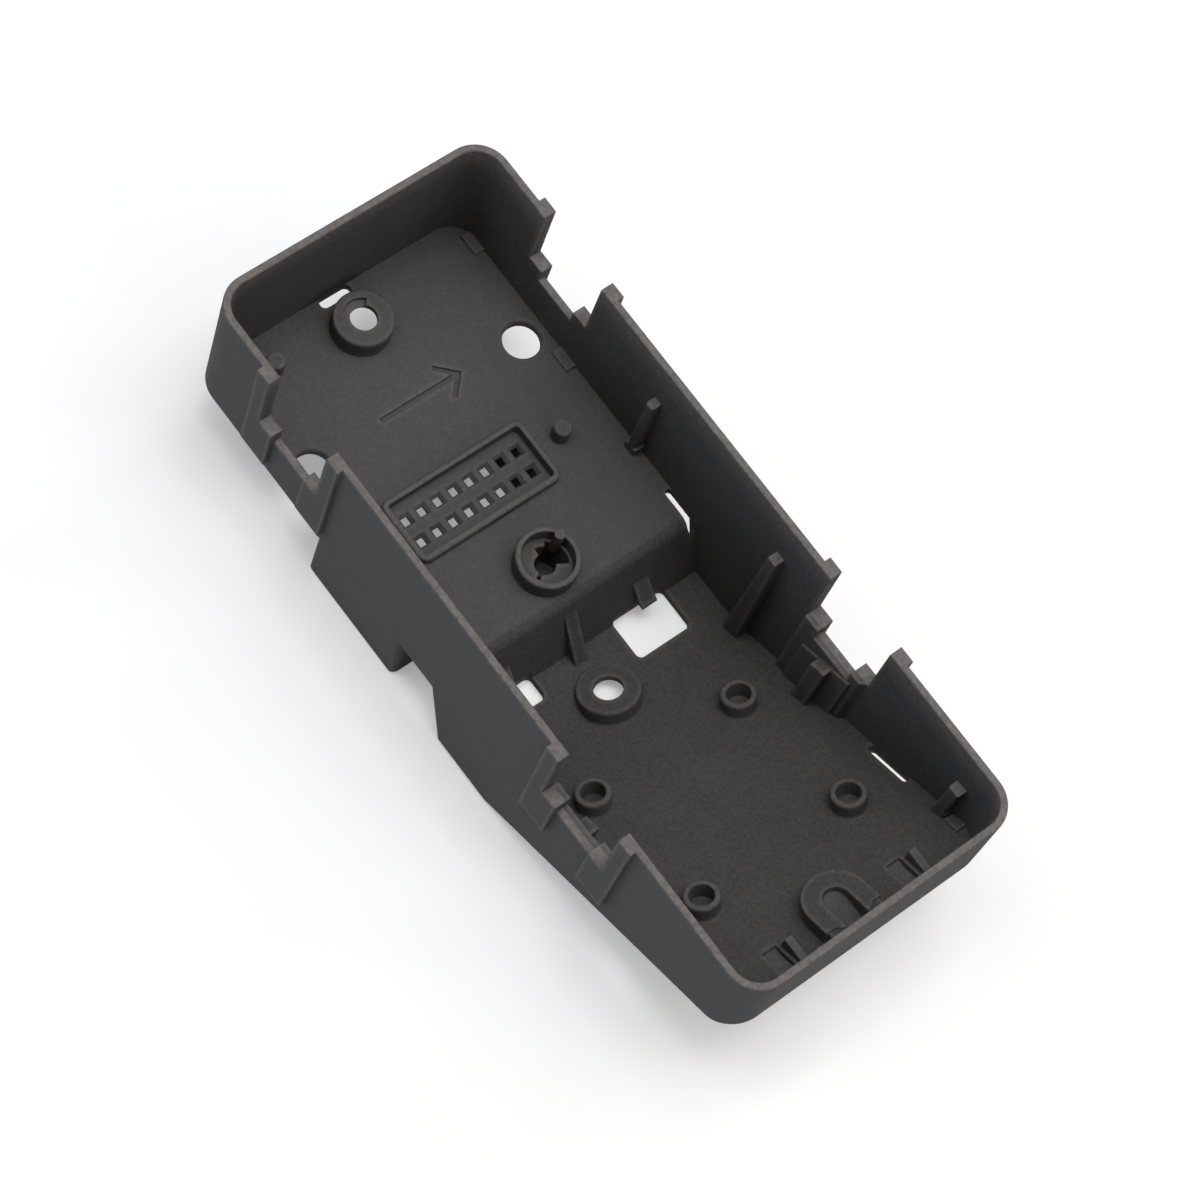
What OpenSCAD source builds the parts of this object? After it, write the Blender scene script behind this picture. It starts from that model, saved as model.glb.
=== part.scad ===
// Window switch panel: the moulded tray that carries the window switches.
// One piece. Stations run along X from the shelf end, heights run up from the
// underside of the well, and the centreline of the tray is Y = 0.

/* [Tray] */
// Overall length of the tray
tray_l = 105.2; // [98:0.1:115]
// Overall width of the tray, without the guide ribs outside
tray_w = 41.5; // [39:0.5:50]
// Height from the underside of the well to the rim
tray_h = 30.6; // [28:0.2:38]
// Thickness of the side and end walls
wall_t = 1.0; // [0.8:0.1:1.5]
// Thickness of the level floors
floor_t = 1.2; // [1:0.1:1.8]
// Plan radius of the outer corners
corner_r = 4.5; // [3:0.25:6]
// Rounding of the bottom edge outside
base_edge_r = 0.7; // [0.3:0.1:1]
// Rounding of the two edges of the rim
rim_edge_r = 0.25; // [0.1:0.05:0.35]

/* [Floor] */
// Depth of the shelf below the rim
shelf_depth = 19.7; // [17:0.1:22]
// Station of the edge where the shelf drops to the well
step_x = 50.15; // [48:0.05:54]
// Lean of the step wall from upright
step_lean = 20.7; // [12:0.1:24]
// Thickness of the step wall
step_t = 1.0; // [0.8:0.1:1.5]
// Radius of the upper edge of the step
step_edge_r = 2.0; // [1:0.1:3]
// Station where the well floor starts to rise
slope_x = 62.0; // [61:0.1:64]
// Angle of the rising floor
slope_angle = 22.5; // [18:0.5:23]
// Thickness of the rising floor
slope_t = 1.5; // [1.2:0.1:2]
// Radius of the soft crease where the floor starts to rise
crease_r = 4.0; // [2:0.5:6]

/* [Wall notches] */
// Station of the shelf pair of notches
notch_a_x = 13.35; // [11:0.05:16]
// Station of the pair of notches over the rising floor
notch_b_x = 69.75; // [69:0.05:74]
// Length of a notch
notch_l = 11.4; // [10:0.1:13]
// Depth of a notch below the rim
notch_depth = 12.5; // [11.5:0.1:14]
// Depth of the pads at the two ends of a notch
notch_pad_depth = 10.4; // [8:0.1:11]
// Length of a guide rib along the wall
guide_l = 4.7; // [4:0.1:5.2]
// Reach of a guide rib past the notch's edge
guide_past = 2.25; // [1.5:0.05:2.8]
// How far a guide rib stands out from the wall
guide_out = 0.78; // [0.4:0.02:1.2]
// Height of a guide rib, down from the rim
guide_h = 18.4; // [16:0.1:19]

/* [Stiffened notches] */
// Thickness added inside the wall below the rear notches
stiff_t = 0.72; // [0.4:0.02:1]
// Length of the stiffened wall
stiff_l = 11.2; // [10:0.1:12]
// Extra thickness below the sloping ledge
ledge_t = 0.35; // [0.2:0.05:0.6]
// Length of the ledge
ledge_l = 7.9; // [6:0.1:9]
// Height of the ledge above the rising floor
ledge_h = 9.85; // [8:0.05:10.5]
// Width of the post in the middle
post_w = 2.3; // [1.6:0.1:3]
// Reach of the post from the inner wall face
post_out = 2.36; // [1.8:0.02:3]
// Height of the post's head above the ledge
post_rise = 0.15; // [0:0.05:0.6]

/* [Wall ribs] */
// Reach of a wall rib from the wall
rib_out = 1.45; // [1:0.05:2.2]
// Depth of the ribs' heads below the rim
rib_depth = 6.85; // [4:0.05:9]
// Width of the rib on the shelf
rib_a_w = 1.3; // [1:0.05:1.8]
// Station of the rib on the shelf
rib_a_x = 38.4; // [34:0.05:42.5]
// Width of the middle rib at its head
rib_b_w = 1.45; // [1:0.05:1.9]
// Station of the rib at the foot of the rise
rib_b_x = 62.7; // [61:0.05:65]
// Width of the far rib
rib_c_w = 1.75; // [1.2:0.05:1.9]
// Width of the toe of the shelf rib and the far rib
rib_toe_w = 2.05; // [2:0.05:2.6]
// Height of that toe above the floor
rib_toe_h = 1.5; // [0.8:0.1:2.5]
// Distance of the far rib from the outer face of the far end
rib_c_back = 7.35; // [5.5:0.05:10]
// Rounding of the ribs' upright edges
rib_edge_r = 0.4; // [0.2:0.05:0.6]
// Reach of the middle rib at its foot
rib_foot_out = 1.75; // [1.5:0.05:2.8]
// Width of the middle rib at its foot
rib_foot_w = 2.5; // [2:0.1:3.4]

/* [Connector field] */
// Terminals in a row
terminal_count = 8; // [4:1:8]
// Pitch of the terminals along a row
terminal_pitch = 2.45; // [2.3:0.05:2.5]
// Distance between the two rows
terminal_row = 3.25; // [3:0.05:3.6]
// Width of a terminal opening, across its row
terminal_w = 1.75; // [1.4:0.05:1.9]
// Length of a terminal opening, along its row
terminal_l = 1.75; // [1.4:0.05:1.8]
// Width of the opening's throat
throat_w = 1.05; // [0.8:0.05:1.2]
// Length of the opening's throat
throat_l = 0.85; // [0.6:0.05:1.2]
// Station of the field's middle
field_x = 32.3; // [31.5:0.05:34]
// Offset of the field's middle from the centreline
field_y = -1.85; // [-3:0.05:-1]
// Clearance from the outer terminals to the frame
field_margin = 0.63; // [0.4:0.01:1]
// Clearance from the rows to the frame's long sides
field_side = 1.45; // [1:0.05:1.8]
// Width of the raised frame
frame_w = 0.75; // [0.5:0.05:1]
// Height of the raised frame above the shelf
frame_h = 1.1; // [0.3:0.05:1.5]
// Depth of the field below the shelf
field_sink = 0.5; // [0.2:0.05:0.7]
// Corner radius of the frame outside
frame_r = 1.3; // [1:0.05:1.8]
// Rounding of the frame's outer edge
frame_edge_r = 0.3; // [0.1:0.05:0.5]

/* [Connector shroud] */
// Station of the shroud's near end
shroud_x = 26.1; // [25:0.05:27]
// Length of the shroud along the tray
shroud_l = 17.55; // [16.5:0.05:18.5]
// Clearance inside, past the field's frame
shroud_past = 0.52; // [0.3:0.02:0.9]
// Wall of the shroud
shroud_t = 1.15; // [0.9:0.05:1.5]
// Plan radius of the shroud's corners
shroud_r = 1.4; // [1.2:0.05:2]
// Rounding of the shroud's bottom edge
shroud_edge_r = 0.6; // [0.3:0.05:0.8]
// Inward lean of the shroud's outer side face
shroud_draft = 2.5; // [0:0.1:3]

/* [Lamp cup] */
// Station of the lamp cup
cup_x = 45.0; // [44.2:0.05:45.5]
// Outer diameter of the lamp cup
cup_d = 8.25; // [7.5:0.05:8.5]
// Wall of the lamp cup
cup_t = 0.68; // [0.5:0.02:0.9]
// Height of the cup above the shelf
cup_h = 2.8; // [2:0.1:3.5]
// Rounding of the cup's rim
cup_edge_r = 0.25; // [0.1:0.05:0.3]
// Height of the cup's inner ledge above the shelf
cup_ledge_h = 0.55; // [0.3:0.05:0.9]
// Diameter of the round opening in the ledge
lamp_open_d = 2.8; // [2.7:0.1:3.4]
// Diameter of the lamp's bore below it
lamp_bore_d = 2.3; // [1.8:0.1:2.4]
// Height of the lamp socket's underside above the base of the tray
lamp_clear = 1.3; // [0.2:0.1:2]
// Reach of the wide opening for the lamp's lug
lug_out = 3.1; // [2.6:0.05:3.2]
// Direction where the wide opening starts
lug_start = 60; // [40:1:80]
// Angle that the wide opening takes
lug_sweep = 85; // [60:1:110]
// Reach of the shallower opening after it
turn_out = 2.4; // [2:0.05:2.6]
// Angle that the shallower opening takes
turn_sweep = 32; // [20:1:40]
// Height of these openings' floor above the bottom of the lamp's bore
lug_step = 2.8; // [1.5:0.1:4]
// Width of the narrow slot across from them
key_slot_w = 0.5; // [0.4:0.05:0.8]
// Reach of the narrow slot
key_slot_out = 2.2; // [1.9:0.05:2.6]
// Direction of the narrow slot
key_slot_angle = -60; // [-80:1:-40]
// Diameter of the small pin on the cup's rim
cup_pin_d = 1.35; // [1:0.05:1.6]
// Distance of the small pin from the cup's middle
cup_pin_out = 3.3; // [3.2:0.05:3.5]
// Height of the small pin above the cup's rim
cup_pin_h = 0.4; // [0:0.05:0.8]
// Direction of the small pin
cup_pin_angle = 118; // [100:1:135]

/* [Shelf bosses and pins] */
// Station of the shelf's ring boss
ring_a_x = 7.0; // [6.8:0.05:9]
// Outer diameter of the shelf's ring boss
ring_a_d = 7.8; // [7:0.1:8.6]
// Height of the shelf's ring boss
ring_a_h = 3.1; // [2:0.1:4]
// Hole in the shelf's ring boss
ring_a_bore = 3.5; // [3:0.1:4]
// Roof left round the hole
ring_roof_t = 0.8; // [0.6:0.05:1.2]
// Diameter of the hollow under the shelf's ring boss, at its roof
ring_a_room_d = 4.4; // [4.2:0.1:5]
// Diameter of that hollow where it opens below
ring_a_mouth_d = 7.6; // [6:0.1:8]
// Diameter of the hollow under the rise's ring boss, at its roof
ring_b_room_d = 5.4; // [4.8:0.1:6]
// Diameter of that hollow where it opens below
ring_b_mouth_d = 8.2; // [6:0.1:8.4]
// Rounding of the bosses' upper edges
boss_edge_r = 0.3; // [0.1:0.05:0.35]
// Fillet at the foot of the bosses on the rising floor
boss_foot_r = 0.35; // [0.2:0.05:0.5]
// Depth of the curved recess beside the hole
key_sink = 0.55; // [0.2:0.05:0.6]
// Outer radius of the curved recess
key_r = 2.75; // [2.4:0.05:3.1]
// Direction where the curved recess starts
key_start = 137; // [120:1:150]
// Angle that the curved recess takes
key_sweep = 86; // [60:1:100]
// Diameter of the locating pins
pin_d = 2.4; // [1.8:0.1:3]
// Height of the locating pins
pin_h = 2.5; // [1.5:0.1:4]
// Rounding of the locating pins' heads
pin_edge_r = 0.25; // [0.1:0.05:0.4]
// Offset of the locating pins from the centreline
pin_y = 12.3; // [11.8:0.05:13.5]
// Station of the pin near the end wall
pin_a_x = 5.7; // [4.5:0.05:6.5]
// Station of the pin beside the connector field
pin_b_x = 32.1; // [29:0.05:34]
// Diameter of the plain holes
plain_d = 5.0; // [4:0.1:5.4]
// Station of the plain holes
plain_x = 19.1; // [18:0.05:20]
// Offset of the plain holes from the centreline
plain_y = 16.27; // [15.5:0.01:16.5]
// Chamfer at the top of the plain holes
plain_edge = 0.25; // [0.1:0.05:0.4]
// Length of the slot beside the end wall
end_slot_l = 4.7; // [3:0.1:6]
// Width of the slot beside the end wall
end_slot_w = 1.5; // [0.8:0.05:1.6]
// Gap between the end wall and its slot
end_slot_gap = 0; // [0:0.05:0.2]
// Station of the low pads near the end wall
pad_a_x = 3.5; // [3:0.1:6]
// Station of the low pads past the plain holes
pad_b_x = 22.6; // [22:0.1:23.5]
// Distance of the low pads on the rise from the end wall
pad_c_back = 5.4; // [5:0.1:7]
// Length of the low pads on the rise
pad_c_l = 2.3; // [1.5:0.1:3]
// Length of the low pads on the shelf
pad_l = 3.1; // [2:0.1:4]
// Width of the low pads
pad_w = 1.45; // [1:0.05:2]
// Height of the low pads
pad_h = 0.4; // [0.2:0.05:0.8]

/* [Engraved arrow] */
// Length of the arrow
arrow_l = 12.6; // [8:0.2:14]
// Width of the arrow's head
arrow_w = 5.2; // [3:0.1:6]
// Width of a stroke
arrow_stroke = 0.7; // [0.4:0.05:1]
// Depth of the engraving
arrow_sink = 0.4; // [0.15:0.05:0.5]
// Station of the arrow
arrow_x = 18.5; // [17:0.1:20]
// Offset of the arrow's middle from the centreline
arrow_y = 0.9; // [-1:0.1:2]

/* [Well] */
// Length of the service window along the tray
window_l = 6.1; // [5:0.1:6.5]
// Length of the smaller window on the connector side
window_small_l = 3.6; // [3:0.1:5]
// Width of the windows
window_w = 8.4; // [7:0.1:9]
// Offset of the windows' near edge from the centreline
window_y = 6.4; // [6:0.1:7]
// Station of the windows' near end
window_x = 53.2; // [53:0.05:54]
// Corner radius of the windows
window_r = 0.8; // [0.4:0.1:1.2]
// Width of a catch over a window
catch_w = 2.4; // [1.6:0.1:3]
// Offset of a catch from the centreline
catch_y = 10.97; // [10.5:0.01:11.5]
// Height of the catch's underside above the base
catch_z = 3.6; // [3:0.1:4.5]
// Reach of the catch at its underside
catch_out = 1.85; // [1:0.05:2.2]
// Height of the catch
catch_h = 2.6; // [1.8:0.1:3.2]
// Width of the gusset on the step wall
gusset_w = 1.9; // [1.2:0.1:2.4]
// Reach of the gusset at its foot
gusset_out = 1.9; // [1.2:0.05:2.1]
// Distance of the gusset's head below the shelf
gusset_drop = 2.6; // [2.2:0.1:5]
// Position of the rise's ring boss along the rising floor
ring_b_u = -0.7; // [-1:0.05:2]
// Outer diameter of the rise's ring boss
ring_b_d = 8.2; // [7.4:0.1:8.8]
// Height of the rise's ring boss
ring_b_h = 2.35; // [1.8:0.05:3]
// Hole in the rise's ring boss
ring_b_bore = 3.8; // [3:0.1:4.2]

/* [Board bosses] */
// First pair of board bosses, along the rising floor
board_u = 10.45; // [9:0.05:12]
// Distance from the first pair to the second
board_pitch_u = 20.35; // [18:0.05:22]
// Distance of the board bosses from the centreline
board_y = 11.5; // [10:0.1:13]
// Outer diameter of the board bosses
board_d = 4.55; // [4:0.05:5.4]
// Bore of the board bosses
board_bore = 3.2; // [2.6:0.05:3.4]
// Height of the board bosses
board_h = 2.25; // [1.6:0.05:3]
// Depth of the bores below the floor
board_sink = 0.2; // [0:0.05:0.5]

/* [End collar and hooks] */
// Distance of the collar's centre from the end wall, along the rising floor
collar_back = 3.98; // [3.6:0.02:5]
// Outer radius of the collar
collar_r = 4.2; // [3:0.05:4.6]
// Width of the collar's slot
collar_slot = 3.4; // [2.6:0.1:4]
// Height of the collar
collar_h = 2.4; // [1.8:0.1:3.2]
// Depth of the slot's level floor below the collar's top, at the slot's round end
collar_sink = 0.7; // [0.3:0.05:0.9]
// Setback of the collar's end beside the wall
collar_relief = 0.3; // [0.1:0.05:0.5]
// Length of the set back end
collar_relief_l = 1.5; // [1:0.1:2]
// Distance of the hooks' pockets from the end wall, along the rising floor
hook_back = 4.96; // [4.4:0.02:5.6]
// Distance of the hooks' pockets from the centreline
hook_y = 9.67; // [8.8:0.01:12]
// Width of a hook's pocket
hook_pocket_w = 2.05; // [1.6:0.05:2.6]
// Length of a hook's pocket
hook_pocket_l = 4.0; // [3:0.1:4.2]
// Depth of a hook's pocket at its open end
hook_pocket_sink = 0.45; // [0.2:0.05:0.6]
// Depth of a hook's pocket further on
hook_pocket_deep = 0.9; // [0.7:0.05:1]
// Space between a hook and its pocket
hook_gap = 0.45; // [0.2:0.05:0.8]
// Thickness of a hook
hook_t = 1.05; // [0.7:0.05:1.4]
// Length of a hook, from the end wall
hook_l = 4.2; // [3:0.1:4.8]
// Height of a hook's level head above the floor's end at the end wall
hook_rise = 0.36; // [0.2:0.02:1.2]

/* [Core slots] */
// Width of the core slots beside the walls
core_slot_w = 1.1; // [0.5:0.05:1.3]
// Gap between a core slot and the wall
core_slot_gap = 0; // [0:0.05:0.5]
// Station of the slot that runs over the step's edge
core_a_x = 45.3; // [43:0.1:47]
// Length of the slot that runs over the step's edge
core_a_l = 5.7; // [4:0.1:7]
// Depth of that slot below the shelf
core_a_h = 6.9; // [5:0.1:8]
// Position of the slot in the rising floor
core_b_u = 25.9; // [25:0.1:29]
// Length of the slot in the rising floor
core_b_l = 7.0; // [4:0.1:8]

/* [Hidden] */
$fn = 48;
over = 1;                 // how far a cut runs past a face
seam = 0.01;              // overlap or gap that keeps two forms from only touching
sunk = 0.3;               // how far a feature is rooted in the wall or floor that carries it
shelf_z = tray_h - shelf_depth;
inner_y = tray_w / 2 - wall_t;
inner_r = corner_r - wall_t;
foot_x = step_face_x(floor_t);
edge_back = step_edge_r * tan((90 - step_lean) / 2);
edge_x = step_x - edge_back;
edge_z = shelf_z - step_edge_r;
field_w = terminal_row + 2 * (terminal_w / 2 + field_side);
field_l = (terminal_count - 1) * terminal_pitch + terminal_l + 2 * field_margin;
shroud_end_y = field_y + field_l / 2 + frame_w - shroud_past;
cup_bore_r = cup_d / 2 - cup_t;
rib_c_x = tray_l - rib_c_back;
lamp_depth = shelf_z - lamp_clear - wall_t;
end_u = (tray_l - wall_t - slope_x) / cos(slope_angle);
collar_u = end_u - collar_back;
hook_u = end_u - hook_back;
hook_top = slope_z(tray_l - wall_t) + hook_rise;

// Height of the rising floor's upper face at a station
function slope_z(x) = floor_t + (x - slope_x) * tan(slope_angle);
// Station of the step wall's upper face at a height
function step_face_x(z) = step_x + (shelf_z - z) * tan(step_lean);

// Both sides of the centreline
module both_sides() {
    children();
    mirror([0, 1, 0]) children();
}

// Frame of the rising floor: X runs up along it and Z stands square to it
module on_slope(u = 0, y = 0) {
    translate([slope_x, y, floor_t]) rotate([0, -slope_angle, 0]) translate([u, 0, 0]) children();
}

// A side view drawn in stations and heights, carried across between two offsets
module across(y0, y1) {
    translate([0, y1, 0]) rotate([90, 0, 0]) linear_extrude(y1 - y0) children();
}

// Upright block with rounded corners in plan, from its low corner
module block(size, r) {
    for (x = [r, size[0] - r], y = [r, size[1] - r])
        translate([x, y, 0]) cylinder(h = size[2], r = r);
    translate([r, 0, 0]) cube([size[0] - 2 * r, size[1], size[2]]);
    translate([0, r, 0]) cube([size[0], size[1] - 2 * r, size[2]]);
}

// Carries a section round a rounded rectangle that starts at the origin's corner;
// the section is drawn outwards from the centre of the corner radius
module around(l, w, r) {
    for (x = [[r, 1], [l - r, 0]], y = [[r, 1], [w - r, 0]])
        translate([x[0], y[0], 0]) mirror([x[1], 0, 0]) mirror([0, y[1], 0])
            rotate_extrude(angle = 90) children();
    for (x = [[r, 1], [l - r, 0]])
        translate([x[0], 0, 0]) mirror([x[1], 0, 0])
            translate([0, w - r, 0]) rotate([90, 0, 0]) linear_extrude(w - 2 * r) children();
    for (y = [[r, 1], [w - r, 0]])
        translate([r, y[0], 0]) mirror([0, y[1], 0])
            rotate([90, 0, 90]) linear_extrude(l - 2 * r) children();
}

// Block with rounded corners in plan and a rounded bottom edge, from its low corner
module pan(size, r, edge) {
    around(size[0], size[1], r) {
        translate([0, edge]) square([r, size[2] - edge]);
        square([r - edge, size[2]]);
        translate([r - edge, edge]) circle(edge);
    }
    translate([r, r, 0]) cube([size[0] - 2 * r, size[1] - 2 * r, size[2]]);
}

// Long bar with the tray's width and rounded lower edges, along X from the origin
module bar(l, h) {
    translate([0, -tray_w / 2, base_edge_r]) cube([l, tray_w, h - base_edge_r]);
    translate([0, base_edge_r - tray_w / 2, 0]) cube([l, tray_w - 2 * base_edge_r, h]);
    for (y = [base_edge_r - tray_w / 2, tray_w / 2 - base_edge_r])
        translate([0, y, base_edge_r]) rotate([0, 90, 0]) cylinder(h = l, r = base_edge_r);
}

// Outer form: a pan under the shelf, and a deeper well whose step, base and rise
// each bring their own rounded lower edges
module outer_form() {
    reach = 2 * tray_h;
    intersection() {
        translate([0, -tray_w / 2, -over]) block([tray_l, tray_w, tray_h + over], corner_r);
        union() {
            translate([0, -tray_w / 2, shelf_z - floor_t])
                pan([foot_x + corner_r, tray_w, tray_h], corner_r, base_edge_r);
            intersection() {
                bar(tray_l + over, tray_h + over);
                on_slope(-tray_l, 0) translate([0, 0, -slope_t]) bar(2 * tray_l, reach + slope_t);
                translate([step_x, 0, shelf_z]) rotate([0, 90 - step_lean, 0])
                    translate([-reach, 0, -step_t]) bar(2 * reach, tray_l);
            }
        }
    }
}

// Everything below the upper face of the floor, in side view
module floor_side() {
    polygon([[-over, -over], [-over, shelf_z], [edge_x, shelf_z], [edge_x, edge_z],
             [edge_x + step_edge_r * cos(step_lean), edge_z + step_edge_r * sin(step_lean)],
             [foot_x, floor_t], [slope_x, floor_t],
             [tray_l + over, slope_z(tray_l + over)], [tray_l + over, -over]]);
    translate([edge_x, edge_z]) circle(step_edge_r);
    soft_l = crease_r * tan(slope_angle / 2);
    difference() {
        polygon([[slope_x - soft_l, 0], [slope_x - soft_l, floor_t],
                 [slope_x + soft_l * cos(slope_angle), floor_t + soft_l * sin(slope_angle)],
                 [slope_x + soft_l * cos(slope_angle), 0]]);
        translate([slope_x - soft_l, floor_t + crease_r]) circle(crease_r);
    }
}

// The hollow of the tray, open at the rim
module hollow() {
    difference() {
        translate([wall_t, -inner_y, -over])
            block([tray_l - 2 * wall_t, 2 * inner_y, tray_h + 2 * over], inner_r);
        across(-tray_w, tray_w) floor_side();
    }
}

// Material taken off both edges of the rim
module rim_rounding() {
    round_z = tray_h - rim_edge_r;
    translate([0, -tray_w / 2, 0]) around(tray_l, tray_w, corner_r) {
        difference() {
            translate([corner_r - rim_edge_r, round_z]) square(rim_edge_r + over);
            translate([corner_r - rim_edge_r, round_z]) circle(rim_edge_r);
        }
        difference() {
            translate([inner_r - over, round_z]) square([rim_edge_r + over, rim_edge_r + over]);
            translate([inner_r + rim_edge_r, round_z]) circle(rim_edge_r);
        }
    }
}

// Guide ribs outside the wall, one at each end of a notch
module guides(x) {
    for (start = [x - guide_past, x + notch_l + guide_past - guide_l])
        translate([start, tray_w / 2 - sunk, tray_h - guide_h])
            cube([guide_l, guide_out + sunk, guide_h]);
}

// Cut for one notch: deeper between the guide ribs than at them
module notch_cut(x) {
    pad_l_x = guide_l - guide_past;
    outside = wall_t + stiff_t + post_out + guide_out;
    translate([0, inner_y - stiff_t - ledge_t - over / 2, 0]) {
        translate([x, 0, tray_h - notch_pad_depth]) cube([notch_l, outside, notch_depth]);
        translate([x + pad_l_x, 0, tray_h - notch_depth])
            cube([notch_l - 2 * pad_l_x, outside, notch_depth]);
    }
}

// Thicker wall below a rear notch, with a sloping ledge and a post in the middle
module stiffened_wall(x) {
    mid = x + notch_l / 2;
    ledge_x = mid - ledge_l / 2;
    post_x = mid - post_w / 2;
    intersection() {
        translate([0, 0, floor_t]) linear_extrude(tray_h - floor_t - notch_pad_depth)
            polygon([[x, inner_y + sunk], [x, inner_y - stiff_t],
                     [x + stiff_l - stiff_t, inner_y - stiff_t], [x + stiff_l, inner_y],
                     [x + stiff_l, inner_y + sunk]]);
        across(0, tray_w) polygon([[x - over, slope_z(x) - over], [x - over, tray_h],
                                   [x + stiff_l + over, tray_h],
                                   [x + stiff_l + over, slope_z(x + stiff_l) - over]]);
    }
    across(inner_y - stiff_t - ledge_t, inner_y + sunk)
        polygon([[ledge_x, slope_z(ledge_x) - sunk], [ledge_x, slope_z(ledge_x) + ledge_h],
                 [ledge_x + ledge_l, slope_z(ledge_x + ledge_l) + ledge_h],
                 [ledge_x + ledge_l, slope_z(ledge_x + ledge_l) - sunk]]);
    across(inner_y - post_out, inner_y + sunk)
        polygon([[post_x, slope_z(post_x) - sunk], [post_x, slope_z(post_x) + ledge_h + post_rise],
                 [post_x + post_w, slope_z(post_x + post_w) + ledge_h + post_rise],
                 [post_x + post_w, slope_z(post_x + post_w) - sunk]]);
}

// Straight rib on the inner face of a side wall, with rounded upright edges and a
// wider toe
module wall_rib(x, width, foot_z) {
    reach = rib_out + rib_edge_r + sunk / 2;
    translate([x - width / 2, inner_y - rib_out, foot_z - sunk])
        block([width, reach, tray_h - rib_depth - foot_z + sunk], rib_edge_r);
    translate([x - rib_toe_w / 2, inner_y - rib_out, foot_z - sunk])
        block([rib_toe_w, reach, rib_toe_h + sunk], rib_edge_r);
}

// The middle rib widens and deepens towards the foot of the rise
module middle_rib() {
    foot_z = floor_t - sunk;
    head_z = tray_h - rib_depth;
    intersection() {
        across(0, inner_y + sunk)
            polygon([[rib_b_x - rib_foot_w / 2, foot_z], [rib_b_x - rib_b_w / 2, head_z],
                     [rib_b_x + rib_b_w / 2, head_z], [rib_b_x + rib_foot_w / 2, foot_z]]);
        translate([rib_b_x - rib_foot_w, 0, 0]) rotate([90, 0, 90]) linear_extrude(2 * rib_foot_w)
            polygon([[inner_y - rib_foot_out, foot_z], [inner_y - rib_out, head_z],
                     [inner_y + sunk, head_z], [inner_y + sunk, foot_z]]);
    }
}

// Shroud under the shelf that the plug goes into, drafted on its outer face
module shroud_outside() {
    top = shelf_z - floor_t;
    width = shroud_end_y + tray_w / 2;
    lean = top * tan(shroud_draft);
    difference() {
        translate([shroud_x, -tray_w / 2, 0])
            pan([shroud_l, width, top + floor_t / 2], shroud_r, shroud_edge_r);
        translate([shroud_x - over, 0, 0]) rotate([90, 0, 90]) linear_extrude(shroud_l + 2 * over)
            polygon([[-tray_w / 2, top], [-tray_w / 2 + lean, 0], [-tray_w / 2 + lean, -over],
                     [-tray_w / 2 - over, -over], [-tray_w / 2 - over, top]]);
    }
}

// The room for the plug inside the shroud
module shroud_room() {
    lean = shelf_z * tan(shroud_draft);
    near_y = -tray_w / 2 + lean + shroud_t;
    translate([shroud_x + shroud_t, near_y, -over])
        block([shroud_l - 2 * shroud_t, shroud_end_y - shroud_t - near_y,
               shelf_z - floor_t + over], shroud_r / 2);
}

// Raised frame round the terminal field
module field_frame() {
    size = [field_w + 2 * frame_w, field_l + 2 * frame_w, frame_h + sunk];
    translate([field_x - size[0] / 2, field_y - size[1] / 2, shelf_z + frame_h])
        mirror([0, 0, 1]) pan(size, frame_r, frame_edge_r);
}

// Sunk terminal field
module field_cut() {
    translate([field_x - field_w / 2, field_y - field_l / 2, shelf_z - field_sink])
        block([field_w, field_l, frame_h + field_sink + over], frame_r - frame_w);
}

// One terminal opening: a square mouth that tapers to a small throat
module terminal_opening() {
    depth = floor_t - field_sink;
    rise = field_sink / 2;
    slant_w = (terminal_w - throat_w) / 2 / depth;
    slant_l = (terminal_l - throat_l) / 2 / depth;
    translate([0, 0, shelf_z - floor_t]) intersection() {
        rotate([90, 0, 0]) linear_extrude(terminal_l, center = true)
            polygon([[-throat_w / 2, 0], [throat_w / 2, 0],
                     [terminal_w / 2 + slant_w * rise, depth + rise],
                     [-terminal_w / 2 - slant_w * rise, depth + rise]]);
        rotate([90, 0, 90]) linear_extrude(2 * terminal_w, center = true)
            polygon([[-throat_l / 2, 0], [throat_l / 2, 0],
                     [terminal_l / 2 + slant_l * rise, depth + rise],
                     [-terminal_l / 2 - slant_l * rise, depth + rise]]);
    }
    translate([-throat_w / 2, -throat_l / 2, shelf_z - floor_t - over])
        cube([throat_w, throat_l, over + rise]);
}

// All the terminal openings
module terminal_openings() {
    for (row = [-0.5, 0.5], i = [0 : terminal_count - 1])
        translate([field_x + row * terminal_row,
                   field_y + (i - (terminal_count - 1) / 2) * terminal_pitch, 0])
            terminal_opening();
}

// Section of a round boss with rounded upper edges, from its axis outwards; below
// the floor it is rooted by a given depth
module boss_section(r, h, edge, root) {
    translate([0, -root]) square([r, h + root - edge]);
    square([r - edge, h]);
    translate([r - edge, h - edge]) circle(edge);
}

// Section of the fillet round a boss's foot
module foot_section(r, fillet) {
    reach = fillet - seam;
    difference() {
        translate([r - sunk, -sunk]) square(reach + sunk);
        translate([r + reach, reach]) circle(fillet);
    }
}

// Lamp cup on the shelf, with its closed socket below
module lamp_cup() {
    translate([cup_x, 0, shelf_z])
        rotate_extrude() boss_section(cup_d / 2, cup_h, cup_edge_r, floor_t / 2);
    translate([cup_x, 0, shelf_z - lamp_depth - wall_t])
        cylinder(h = lamp_depth + wall_t - floor_t / 4, d = cup_d);
}

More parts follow.
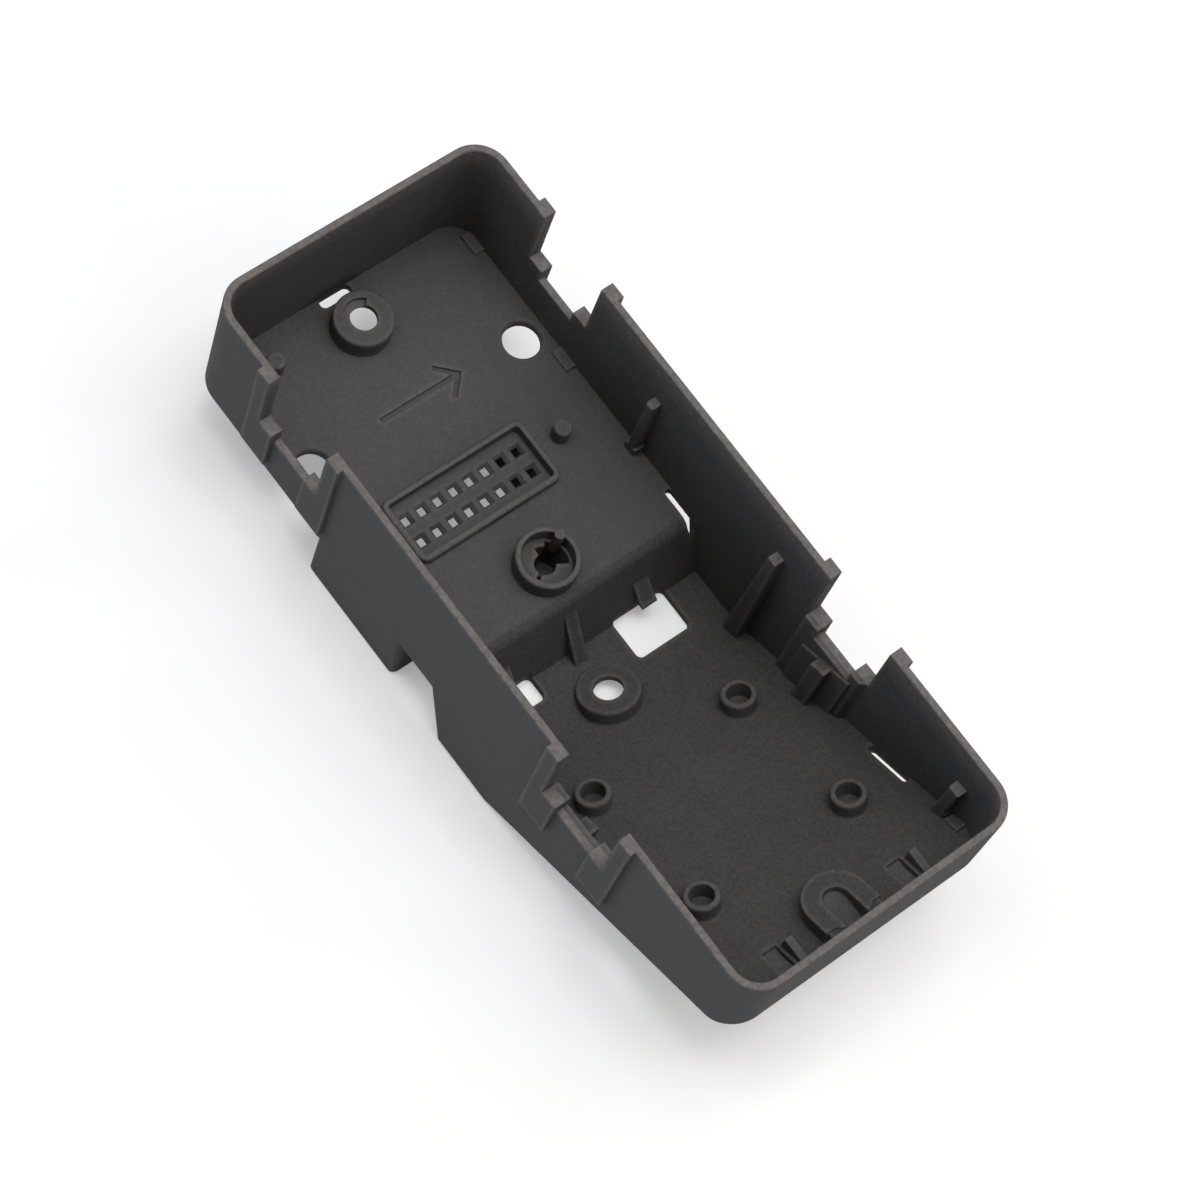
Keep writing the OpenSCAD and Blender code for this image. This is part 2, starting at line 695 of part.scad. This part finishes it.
// The room inside the lamp cup, down to its ledge, and the openings in the ledge
module lamp_cup_cut() {
    lug_depth = lamp_depth - lug_step;
    lug_top = lug_depth + cup_ledge_h + over / 2;
    translate([cup_x, 0, shelf_z + cup_ledge_h]) cylinder(h = cup_h, r = cup_bore_r);
    translate([cup_x, 0, shelf_z - lamp_depth]) cylinder(h = lamp_depth + cup_h, d = lamp_bore_d);
    translate([cup_x, 0, shelf_z - lug_depth]) {
        cylinder(h = lug_top, d = lamp_open_d);
        rotate([0, 0, lug_start]) rotate_extrude(angle = lug_sweep) square([lug_out, lug_top]);
        rotate([0, 0, lug_start + lug_sweep / 2])
            rotate_extrude(angle = turn_sweep + lug_sweep / 2) square([turn_out, lug_top]);
        rotate([0, 0, key_slot_angle]) translate([0, -key_slot_w / 2, 0])
            cube([key_slot_out, key_slot_w, lug_top]);
    }
}

// Small pin that stands on the cup's ledge beside its rim
module cup_pin() {
    translate([cup_x, 0, 0]) rotate([0, 0, cup_pin_angle])
        translate([cup_pin_out, 0, shelf_z - floor_t])
            cylinder(h = floor_t + cup_h + cup_pin_h, d = cup_pin_d);
}

// Ring boss with a small hole through its roof, hollow from below
module ring_boss(d, h, fillet) {
    rotate_extrude() {
        boss_section(d / 2, h, boss_edge_r, sunk);
        if (fillet > 0) foot_section(d / 2, fillet);
    }
}

module ring_boss_cut(h, bore, room_d, mouth_d, under) {
    roof = h - ring_roof_t;
    widen = (mouth_d - room_d) / (roof + under);
    translate([0, 0, -under - over]) cylinder(h = h + under + 2 * over, d = bore);
    translate([0, 0, -under - over])
        cylinder(h = roof + under + over, d1 = mouth_d + widen * over, d2 = room_d);
}

// Curved recess beside the hole of the shelf's ring boss
module key_recess() {
    translate([ring_a_x, 0, shelf_z + ring_a_h - key_sink])
        rotate([0, 0, key_start]) rotate_extrude(angle = key_sweep)
            square([key_r, key_sink + over]);
}

// Locating pin with a rounded head edge
module locating_pin(x, y) {
    translate([x, y, shelf_z]) rotate_extrude() boss_section(pin_d / 2, pin_h, pin_edge_r, sunk);
}

// Low pads beside the side walls
module low_pads() {
    for (x = [pad_a_x, pad_b_x])
        translate([x, inner_y - pad_w, shelf_z - sunk])
            cube([pad_l, pad_w + sunk, pad_h + sunk]);
    on_slope(end_u - pad_c_back, inner_y - pad_w) translate([0, 0, -sunk])
        cube([pad_c_l, pad_w + sunk, pad_h + sunk]);
}

// Slot with round ends that runs along Y
module end_slot() {
    r = end_slot_w / 2;
    translate([wall_t + end_slot_gap, -end_slot_l / 2, shelf_z - floor_t - over])
        block([end_slot_w, end_slot_l, floor_t + 2 * over], r - seam);
}

// Plain engraved arrow
module arrow() {
    half = arrow_w / 2;
    slant = arrow_stroke * sqrt(2);
    translate([arrow_x, arrow_y, shelf_z - arrow_sink]) linear_extrude(arrow_sink + over) {
        translate([-arrow_stroke / 2, -arrow_l / 2])
            square([arrow_stroke, arrow_l - slant / 2]);
        for (side = [0, 1]) mirror([side, 0]) translate([0, arrow_l / 2])
            polygon([[0, 0], [half, -half], [half - slant / 2, -half - slant / 2], [0, -slant]]);
    }
}

// Window through the well's floor
module window(l, side) {
    translate([window_x, side > 0 ? window_y : -window_y - window_w, -over])
        block([l, window_w, catch_z / 2 + floor_t / 2 + over], window_r);
}

// Sloping catch on the step wall, flat below
module window_catch() {
    root = step_face_x(catch_z);
    across(catch_y - catch_w / 2, catch_y + catch_w / 2)
        polygon([[root - sunk, catch_z], [root + catch_out, catch_z],
                 [step_face_x(catch_z + catch_h), catch_z + catch_h],
                 [step_face_x(catch_z + catch_h) - sunk, catch_z + catch_h]]);
}

// Tall gusset on the centreline between the step wall and the well's floor
module gusset() {
    head_z = shelf_z - gusset_drop;
    across(-gusset_w / 2, gusset_w / 2)
        polygon([[step_face_x(0) - sunk, floor_t - sunk], [foot_x + gusset_out, floor_t - sunk],
                 [foot_x + gusset_out, floor_t],
                 [step_face_x(head_z), head_z], [step_face_x(head_z) - sunk, head_z]]);
}

// Board boss square to the rising floor, with its bore
module board_bosses() {
    for (u = [board_u, board_u + board_pitch_u])
        on_slope(u, board_y) rotate_extrude() {
            boss_section(board_d / 2, board_h, boss_edge_r, sunk);
            foot_section(board_d / 2, boss_foot_r);
        }
}

module board_bores() {
    for (u = [board_u, board_u + board_pitch_u])
        on_slope(u, board_y) translate([0, 0, -board_sink])
            cylinder(h = board_h + board_sink + over, d = board_bore);
}

// U-shaped collar that opens to the end wall
module collar() {
    wall_u = (tray_l - wall_t / 2 - slope_x) / cos(slope_angle);
    intersection() {
        on_slope(0, 0) {
            translate([collar_u, 0, -sunk]) cylinder(h = collar_h + sunk, r = collar_r);
            translate([collar_u, -collar_r, -sunk])
                cube([wall_u - collar_u - collar_relief_l, 2 * collar_r, collar_h + sunk]);
            translate([collar_u, -collar_r + collar_relief, -sunk])
                cube([wall_u - collar_u + over, 2 * (collar_r - collar_relief),
                      collar_h - collar_relief + sunk]);
        }
        translate([0, -tray_w / 2, 0]) cube([tray_l - wall_t / 2, tray_w, tray_h]);
    }
}

// The collar's slot, down to a level floor, as far as the end wall
module collar_slot_cut() {
    end_sink = collar_h - collar_sink;
    floor_z = floor_t + (collar_u - collar_slot / 2) * sin(slope_angle)
        + end_sink * cos(slope_angle);
    intersection() {
        on_slope(collar_u, 0) translate([0, 0, -slope_t]) {
            cylinder(h = collar_h + slope_t + over, d = collar_slot);
            translate([0, -collar_slot / 2, 0])
                cube([tray_l, collar_slot, collar_h + slope_t + over]);
        }
        translate([0, -tray_w / 2, floor_z]) cube([tray_l - wall_t, tray_w, tray_h]);
    }
}

// Upright hook beside its pocket, tied to the end wall
module hook(side) {
    x = tray_l - wall_t - hook_l;
    y0 = side * hook_y + hook_pocket_w / 2 + hook_gap;
    across(y0, y0 + hook_t)
        polygon([[x, slope_z(x) - sunk], [x, hook_top], [tray_l - wall_t + sunk, hook_top],
                 [tray_l - wall_t + sunk, slope_z(tray_l - wall_t) - sunk]]);
}

// Pocket with a level floor that runs out into a floor along the rise
module hook_pocket(side) {
    start_z = floor_t + hook_u * sin(slope_angle) - hook_pocket_sink * cos(slope_angle);
    intersection() {
        on_slope(hook_u, side * hook_y - hook_pocket_w / 2) translate([0, 0, -hook_pocket_deep])
            cube([hook_pocket_l, hook_pocket_w, hook_pocket_deep + over]);
        translate([0, -tray_w / 2, start_z]) cube([tray_l, tray_w, tray_h]);
    }
}

// Narrow slots beside the walls, left by the mould's cores
module core_slots() {
    outer = inner_y - core_slot_gap;
    translate([core_a_x, outer - core_slot_w, shelf_z - core_a_h])
        block([core_a_l, core_slot_w, core_a_h + over], core_slot_w / 2 - seam);
    on_slope(core_b_u, outer - core_slot_w) translate([0, 0, -slope_t - over])
        block([core_b_l, core_slot_w, slope_t + 2 * over], core_slot_w / 2 - seam);
}

// The whole tray
module housing() color([0.27, 0.265, 0.26]) translate([-tray_l / 2, 0, 0]) {
    difference() {
        union() {
            difference() {
                outer_form();
                hollow();
                rim_rounding();
            }
            both_sides() {
                guides(notch_a_x);
                guides(notch_b_x);
                stiffened_wall(notch_b_x);
                wall_rib(rib_a_x, rib_a_w, shelf_z);
                wall_rib(rib_c_x, rib_c_w, slope_z(rib_c_x));
                middle_rib();
                low_pads();
                window_catch();
                board_bosses();
            }
            difference() {
                shroud_outside();
                shroud_room();
            }
            field_frame();
            lamp_cup();
            translate([ring_a_x, 0, shelf_z]) ring_boss(ring_a_d, ring_a_h, 0);
            intersection() {
                on_slope(ring_b_u, 0) ring_boss(ring_b_d, ring_b_h, boss_foot_r);
                translate([0, -tray_w / 2, floor_t / 2]) cube([tray_l, tray_w, tray_h]);
            }
            locating_pin(pin_a_x, -pin_y);
            locating_pin(pin_b_x, pin_y);
            gusset();
            collar();
            hook(-1);
            hook(1);
        }
        both_sides() {
            notch_cut(notch_a_x);
            notch_cut(notch_b_x);
            board_bores();
            core_slots();
            translate([plain_x, plain_y, shelf_z - floor_t - over])
                cylinder(h = floor_t + 2 * over, d = plain_d);
            translate([plain_x, plain_y, shelf_z - plain_edge])
                cylinder(h = plain_edge + over, d1 = plain_d, d2 = plain_d + 2 * (plain_edge + over));
        }
        field_cut();
        terminal_openings();
        lamp_cup_cut();
        translate([ring_a_x, 0, shelf_z])
            ring_boss_cut(ring_a_h, ring_a_bore, ring_a_room_d, ring_a_mouth_d, floor_t);
        on_slope(ring_b_u, 0)
            ring_boss_cut(ring_b_h, ring_b_bore, ring_b_room_d, ring_b_mouth_d, slope_t);
        key_recess();
        end_slot();
        arrow();
        window(window_l, 1);
        window(window_small_l, -1);
        collar_slot_cut();
        hook_pocket(-1);
        hook_pocket(1);
    }
    cup_pin();
}

housing();
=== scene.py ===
import math
import bpy
from mathutils import Matrix, Vector

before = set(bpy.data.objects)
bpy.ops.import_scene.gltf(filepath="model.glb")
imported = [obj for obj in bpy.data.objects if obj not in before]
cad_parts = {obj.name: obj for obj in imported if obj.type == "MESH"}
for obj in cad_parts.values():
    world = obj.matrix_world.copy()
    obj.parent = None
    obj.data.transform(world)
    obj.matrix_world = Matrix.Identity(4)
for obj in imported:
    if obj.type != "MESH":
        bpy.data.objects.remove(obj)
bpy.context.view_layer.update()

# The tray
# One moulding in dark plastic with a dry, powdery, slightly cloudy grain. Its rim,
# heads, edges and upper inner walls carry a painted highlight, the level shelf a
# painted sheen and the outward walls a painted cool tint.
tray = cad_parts["housing"]

# colours; the mean of the first four was fitted together with the softboxes. The fifth
# is a painted cool tint, the sixth serves both pale dust specks and a painted sheen,
# and the last is a painted highlight
warm_light = (0.0825, 0.0778, 0.0752, 1.0)
warm_dark = (0.0705, 0.0666, 0.0645, 1.0)
cool_light = (0.0635, 0.0640, 0.0645, 1.0)
cool_dark = (0.0530, 0.0535, 0.0542, 1.0)
painted_cool_tint_colour = (0.0675, 0.0688, 0.0715, 1.0)
dust_and_sheen_colour = (0.1250, 0.1160, 0.1110, 1.0)
painted_highlight_colour = (0.1900, 0.1730, 0.1640, 1.0)

# sizes of the grains and patches, in metres
grain_size = 0.00026
mottle_size = 0.00048
cloud_size = 0.0050
dust_size = 0.00030
highlight_patch_size = 0.0006
grain_depth = 0.00006
edge_radius = 0.00030
thin_wall = 0.00070

# where the painted highlight, the painted sheen and the painted cool tint lie, in
# metres
highlight_height = 0.0215
highlight_reach = 0.0197
height_fade = 0.0003
reach_fade = 0.0002
upper_wall_light_start = 0.0262
rim_height = 0.0306
well_clear = 0.0070
shelf_reach = 0.0090
wall_start = 0.004
wall_full = 0.010

# how much of the paler or plainer colour shows where it is strongest
speck_share = 0.40
shelf_sheen_share = 0.36
painted_cool_tint_share = 0.75
upper_wall_light_share = 0.55
edge_highlight_share = 0.60
least_highlight = 0.45

# how dull the plastic is and how strongly its grain shows
gloss_level = 0.08
smoothest = 0.73
roughest = 0.87
grain_strength = 0.4


def powder_skin(name):
    material = bpy.data.materials.new(name)
    material.use_nodes = True
    nodes, links = material.node_tree.nodes, material.node_tree.links
    shader = nodes["Principled BSDF"]
    place = nodes.new("ShaderNodeTexCoord")

    def noise(size, detail, shift=0.0):
        moved = nodes.new("ShaderNodeVectorMath")
        moved.operation = "ADD"
        moved.inputs[1].default_value = (shift, shift, shift)
        links.new(place.outputs["Object"], moved.inputs[0])
        texture = nodes.new("ShaderNodeTexNoise")
        texture.inputs["Scale"].default_value = 1 / size
        texture.inputs["Detail"].default_value = detail
        links.new(moved.outputs["Vector"], texture.inputs["Vector"])
        return texture.outputs["Fac"]

    def ramp(value, low, high, start=0.0, end=1.0):
        node = nodes.new("ShaderNodeMapRange")
        node.inputs["From Min"].default_value = low
        node.inputs["From Max"].default_value = high
        node.inputs["To Min"].default_value = start
        node.inputs["To Max"].default_value = end
        links.new(value, node.inputs["Value"])
        return node.outputs["Result"]

    def blend(factor, under, above):
        node = nodes.new("ShaderNodeMix")
        node.data_type = "RGBA"
        links.new(factor, node.inputs["Factor"])
        for socket, colour in (("A", under), ("B", above)):
            if isinstance(colour, tuple):
                node.inputs[socket].default_value = colour
            else:
                links.new(colour, node.inputs[socket])
        return node.outputs["Result"]

    def joined(operation, first, second):
        node = nodes.new("ShaderNodeMath")
        node.operation = operation
        links.new(first, node.inputs[0])
        links.new(second, node.inputs[1])
        return node.outputs["Value"]

    def split(vector):
        node = nodes.new("ShaderNodeSeparateXYZ")
        links.new(vector, node.inputs["Vector"])
        return node.outputs

    # cloudy plastic of warm and cool grains, then a little pale dust
    cloud = noise(cloud_size, detail=5.0)
    warm = blend(cloud, warm_dark, warm_light)
    cool = blend(cloud, cool_dark, cool_light)
    warm_grains = ramp(noise(mottle_size, detail=2.0, shift=0.5), low=0.38, high=0.62)
    mottled = blend(warm_grains, cool, warm)
    dust = noise(dust_size, detail=1.0, shift=0.3)
    specks = ramp(dust, low=0.60, high=0.76, end=speck_share)
    dusty = blend(specks, mottled, dust_and_sheen_colour)

    # painted sheen: the level shelf is painted paler with the dust colour, standing in
    # for the soft highlight that the softboxes lay on it
    spot = split(place.outputs["Object"])
    surface = nodes.new("ShaderNodeNewGeometry")
    facing = split(surface.outputs["True Normal"])
    level = ramp(facing["Z"], low=0.94, high=0.98)
    on_shelf = ramp(spot["Z"], low=well_clear, high=shelf_reach, end=shelf_sheen_share)
    with_painted_shelf_sheen = blend(joined("MULTIPLY", level, on_shelf), dusty, dust_and_sheen_colour)

    # painted cool tint: walls that face away from the middle are painted plainer and
    # cooler, standing in for the cooler light that falls on them
    plan_spot = nodes.new("ShaderNodeVectorMath")
    plan_spot.operation = "MULTIPLY"
    plan_spot.inputs[1].default_value = (1.0, 1.0, 0.0)
    links.new(place.outputs["Object"], plan_spot.inputs[0])
    outward = nodes.new("ShaderNodeVectorMath")
    outward.operation = "DOT_PRODUCT"
    links.new(plan_spot.outputs["Vector"], outward.inputs[0])
    links.new(surface.outputs["True Normal"], outward.inputs[1])
    painted_cool_tint_mask = ramp(outward.outputs["Value"],
                   low=wall_start, high=wall_full, end=painted_cool_tint_share)
    with_painted_cool_tint = blend(painted_cool_tint_mask, with_painted_shelf_sheen, painted_cool_tint_colour)

    # painted highlight: heads near the rim or on the outer ribs, which look up, are
    # painted palest, standing in for the light they catch
    sideways = nodes.new("ShaderNodeMath")
    sideways.operation = "ABSOLUTE"
    links.new(spot["Y"], sideways.inputs[0])
    high_up = ramp(spot["Z"], low=highlight_height, high=highlight_height + height_fade)
    far_out = ramp(sideways.outputs["Value"],
                   low=highlight_reach, high=highlight_reach + reach_fade)
    looks_up = ramp(facing["Z"], low=0.55, high=0.75)
    head_highlight = joined("MULTIPLY", looks_up, joined("MAXIMUM", high_up, far_out))

    # painted light: the inner walls are painted paler towards the rim, where less shade
    # falls
    inner = ramp(outward.outputs["Value"],
                 low=-wall_full, high=-wall_start, start=1.0, end=0.0)
    near_rim = ramp(spot["Z"], low=upper_wall_light_start, high=rim_height, end=upper_wall_light_share)
    painted_upper_wall_light = joined("MULTIPLY", inner, near_rim)

    # painted highlight: edges and thin walls are painted pale too, standing in for the
    # light their rounding catches, all of them in patches
    thickness = nodes.new("ShaderNodeAmbientOcclusion")
    thickness.samples = 3
    thickness.inside = True
    thickness.only_local = True
    thickness.inputs["Distance"].default_value = thin_wall
    edge_highlight = ramp(thickness.outputs["AO"], low=0.90, high=0.55, end=edge_highlight_share)
    patches = noise(highlight_patch_size, detail=3.0, shift=0.7)
    highlight_patchiness = ramp(patches, low=0.35, high=0.65, start=least_highlight)
    highlit_places = joined("MAXIMUM", joined("MAXIMUM", head_highlight, painted_upper_wall_light), edge_highlight)
    painted_highlight = joined("MULTIPLY", highlit_places, highlight_patchiness)
    links.new(blend(painted_highlight, with_painted_cool_tint, painted_highlight_colour), shader.inputs["Base Color"])

    # the grain itself, on edges that the light finds rounded
    grain = noise(grain_size, detail=3.0)
    shader.inputs["Specular IOR Level"].default_value = gloss_level
    dullness = ramp(grain, low=0.3, high=0.7, start=smoothest, end=roughest)
    links.new(dullness, shader.inputs["Roughness"])
    rounded = nodes.new("ShaderNodeBevel")
    rounded.samples = 4
    rounded.inputs["Radius"].default_value = edge_radius
    bump = nodes.new("ShaderNodeBump")
    bump.inputs["Strength"].default_value = grain_strength
    bump.inputs["Distance"].default_value = grain_depth
    links.new(grain, bump.inputs["Height"])
    links.new(rounded.outputs["Normal"], bump.inputs["Normal"])
    links.new(bump.outputs["Normal"], shader.inputs["Normal"])
    return material


tray.data.materials.clear()
tray.data.materials.append(powder_skin("powder_skin"))

# The paper under it
# A wide sheet of matte white paper on a light table, which the tray stands on. It
# takes the tray's soft shadow, runs out to white and glows faintly to the eye, by a
# strength that was fitted together with the softboxes.
paper_size = 4.0
paper_drop = 0.0001
paper_glow = 0.30
paper_white = (0.8, 0.8, 0.8, 1.0)
bpy.ops.mesh.primitive_plane_add(size=paper_size, location=(0, 0, -paper_drop))
paper = bpy.context.object
paper.name = "paper"
paper_skin = bpy.data.materials.new("paper_skin")
paper_skin.use_nodes = True
paper_shader = paper_skin.node_tree.nodes["Principled BSDF"]
paper_shader.inputs["Base Color"].default_value = paper_white
paper_shader.inputs["Roughness"].default_value = 1.0
paper_shader.inputs["Specular IOR Level"].default_value = 0.0
paper_shader.inputs["Emission Color"].default_value = (1.0, 1.0, 1.0, 1.0)
paper_nodes, paper_links = paper_skin.node_tree.nodes, paper_skin.node_tree.links
to_the_eye = paper_nodes.new("ShaderNodeLightPath")
seen_paper = paper_nodes.new("ShaderNodeMath")
seen_paper.operation = "MAXIMUM"
paper_links.new(to_the_eye.outputs["Is Camera Ray"], seen_paper.inputs[0])
paper_links.new(to_the_eye.outputs["Is Glossy Ray"], seen_paper.inputs[1])
glow = paper_nodes.new("ShaderNodeMath")
glow.operation = "MULTIPLY"
glow.inputs[1].default_value = paper_glow
paper_links.new(seen_paper.outputs["Value"], glow.inputs[0])
paper_links.new(glow.outputs["Value"], paper_shader.inputs["Emission Strength"])
paper.data.materials.append(paper_skin)

# The room
# White to the eye and in reflections past the paper's edge, and too dim to light
# the tray's colour, so that the softboxes alone shape it.
room_dim = 0.015
room_white = 1.0
world = bpy.data.worlds.new("studio")
bpy.context.scene.world = world
world.use_nodes = True
room_nodes, room_links = world.node_tree.nodes, world.node_tree.links
room = room_nodes["Background"]
room.inputs["Color"].default_value = (1.0, 1.0, 1.0, 1.0)
seen = room_nodes.new("ShaderNodeLightPath")
seen_at_all = room_nodes.new("ShaderNodeMath")
seen_at_all.operation = "MAXIMUM"
room_links.new(seen.outputs["Is Camera Ray"], seen_at_all.inputs[0])
seen_mirrored = room_nodes.new("ShaderNodeMath")
seen_mirrored.operation = "MAXIMUM"
room_links.new(seen.outputs["Is Glossy Ray"], seen_mirrored.inputs[0])
room_links.new(seen.outputs["Is Transmission Ray"], seen_mirrored.inputs[1])
room_links.new(seen_mirrored.outputs["Value"], seen_at_all.inputs[1])
room_level = room_nodes.new("ShaderNodeMapRange")
room_level.inputs["To Min"].default_value = room_dim
room_level.inputs["To Max"].default_value = room_white
room_links.new(seen_at_all.outputs["Value"], room_level.inputs["Value"])
room_links.new(room_level.outputs["Result"], room.inputs["Strength"])

# The softboxes
# Square softboxes one metre from the tray, aimed at its middle: one overhead and
# nine round it. A scratch program fitted their watts and tints to the photograph's
# levels, and five of the watts and some of the tints were then changed by hand.
softbox_side = 0.45


def softbox(name, bearing, lift, watts, tint):
    lamp = bpy.data.lights.new(name, "AREA")
    lamp.size = softbox_side
    lamp.energy = watts
    lamp.color = tint
    holder = bpy.data.objects.new(name, lamp)
    across, up = math.radians(bearing), math.radians(lift)
    where = Vector((math.cos(across) * math.cos(up),
                    math.sin(across) * math.cos(up),
                    math.sin(up)))
    holder.location = where
    holder.rotation_euler = (-where).to_track_quat("-Z", "Y").to_euler()
    holder.visible_camera = False
    bpy.context.scene.collection.objects.link(holder)


softbox("overhead", bearing=0, lift=89.99, watts=4.05, tint=(0.95, 0.97, 1.0))
softbox("high_far_corner", bearing=117, lift=65, watts=0.85, tint=(1.0, 1.0, 1.0))
softbox("high_near_corner", bearing=225, lift=62, watts=1.63, tint=(1.0, 1.0, 0.97))
softbox("high_rise_corner", bearing=45, lift=62, watts=1.48, tint=(1.0, 0.93, 0.80))
softbox("middle_rise_corner", bearing=45, lift=35, watts=0.6, tint=(1.0, 0.89, 0.82))
softbox("middle_far_side", bearing=90, lift=35, watts=1.55, tint=(0.94, 0.96, 1.0))
softbox("low_rise_end", bearing=0, lift=12, watts=1.1, tint=(0.78, 0.84, 1.0))
softbox("lifted_rise_end", bearing=0, lift=25, watts=1.15, tint=(1.0, 0.93, 0.76))
softbox("low_near_corner", bearing=225, lift=12, watts=1.57, tint=(0.78, 0.86, 1.0))
softbox("low_near_side", bearing=270, lift=12, watts=2.3, tint=(0.85, 0.90, 1.0))

# The camera
# It looks down from the near side of the rising end, rolled so that the tray runs
# from upper left to lower right. A scratch program solved its place, directions and
# focal length from the tray's edges and holes in the photograph.
camera_place = Vector((0.09432, -0.17898, 0.44822))
camera_view = Vector((-0.19584, 0.37686, -0.90533))
camera_up = Vector((-0.77467, 0.50661, 0.37846))
picture_side = 1200
focal_pixels = 3968.18
sensor_width = 36.0
nearest_seen = 0.01
lens = bpy.data.cameras.new("camera")
lens.sensor_width = sensor_width
lens.lens = sensor_width * focal_pixels / picture_side
lens.clip_start = nearest_seen
camera = bpy.data.objects.new("camera", lens)
camera_right = camera_view.cross(camera_up).normalized()
camera_true_up = camera_right.cross(camera_view).normalized()
camera.matrix_world = Matrix((
    (camera_right[0], camera_true_up[0], -camera_view[0], camera_place[0]),
    (camera_right[1], camera_true_up[1], -camera_view[1], camera_place[1]),
    (camera_right[2], camera_true_up[2], -camera_view[2], camera_place[2]),
    (0, 0, 0, 1)))
bpy.context.scene.collection.objects.link(camera)
bpy.context.scene.camera = camera
bpy.context.scene.view_settings.view_transform = "Standard"
